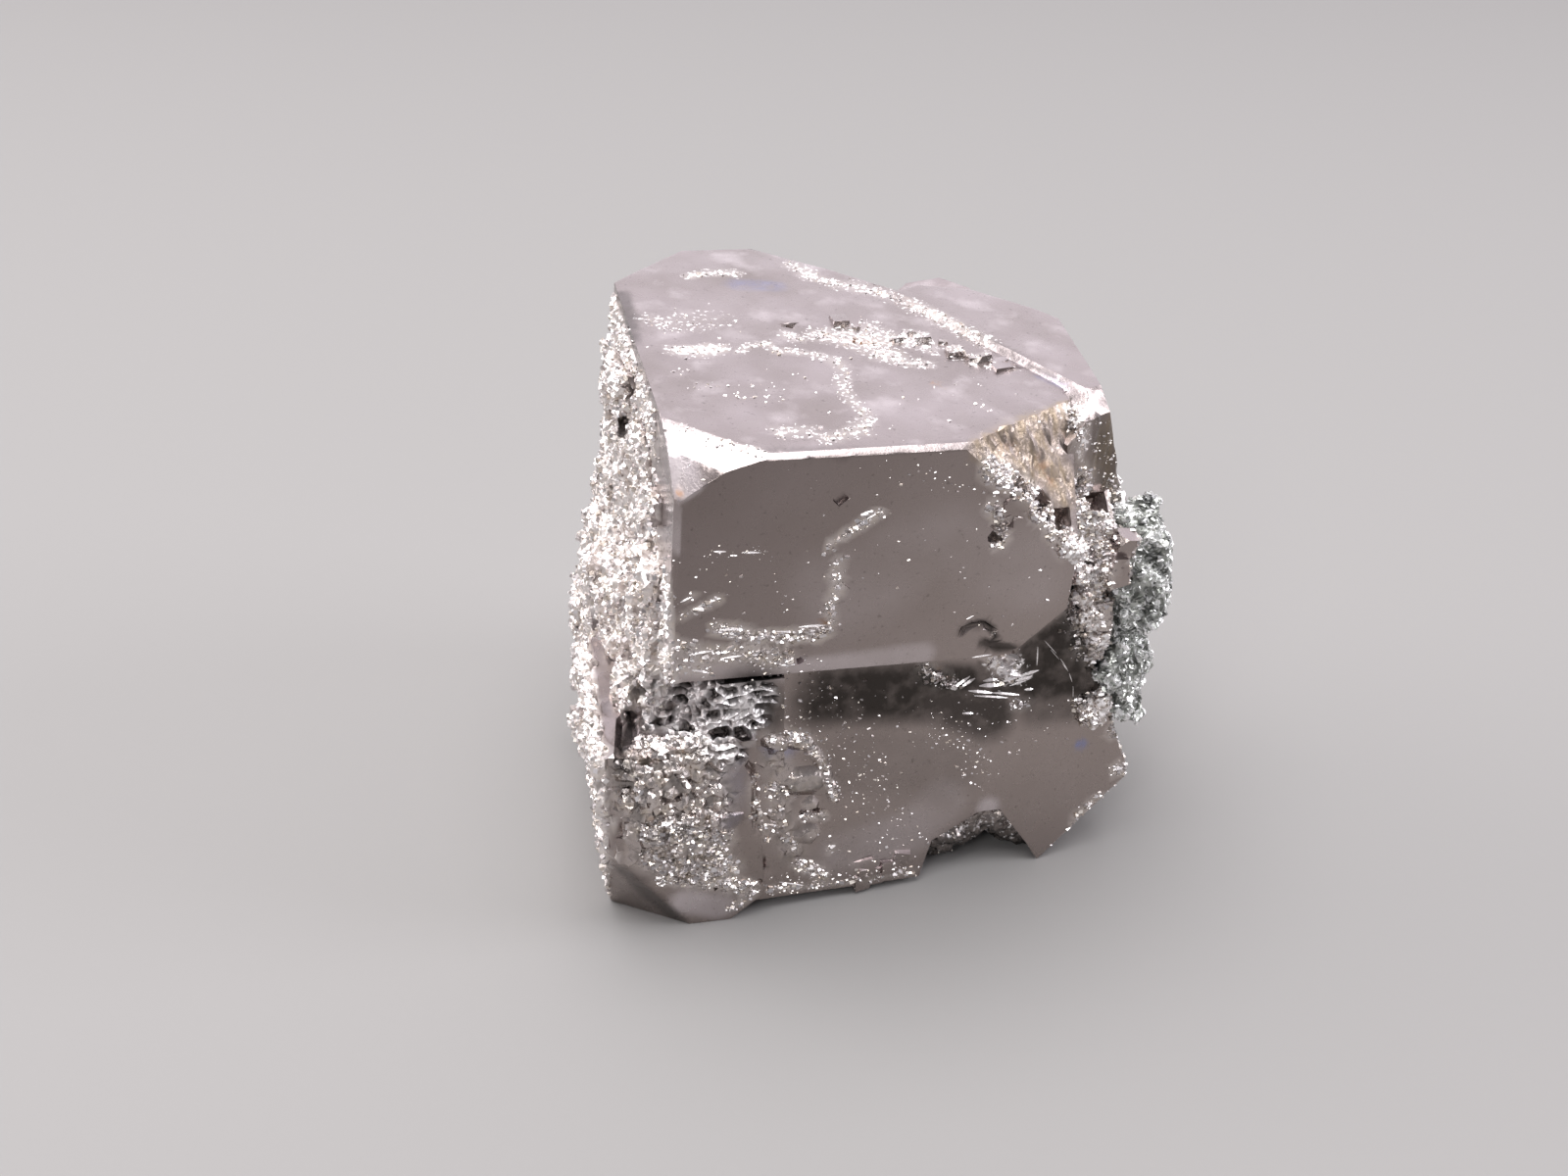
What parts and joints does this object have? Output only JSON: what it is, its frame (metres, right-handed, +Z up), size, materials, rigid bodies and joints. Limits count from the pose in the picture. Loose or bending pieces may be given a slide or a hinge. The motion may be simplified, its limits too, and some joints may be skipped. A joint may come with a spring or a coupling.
{
  "type": "mineral specimen",
  "caption": "Hand specimen of intergrown grey pyrite crystals with stepped flat faces and granular sides, with dark bladed franckeite balls on its right side.",
  "frame": {"origin": "on the plane the specimen stands on, under the middle of its bounding box", "axes": "+Z up as it stands, +X to the right of the large front face, along the longest extent, and +Y from the front face to the back"},
  "size_m": [0.0324, 0.0292, 0.0282],
  "materials": {
    "pyrite": "satin",
    "franckeite": "satin"
  },
  "bodies": {
    "root": {"pyrite_crystals": "pyrite", "franckeite_cluster": "franckeite"}
  },
  "joints": []
}
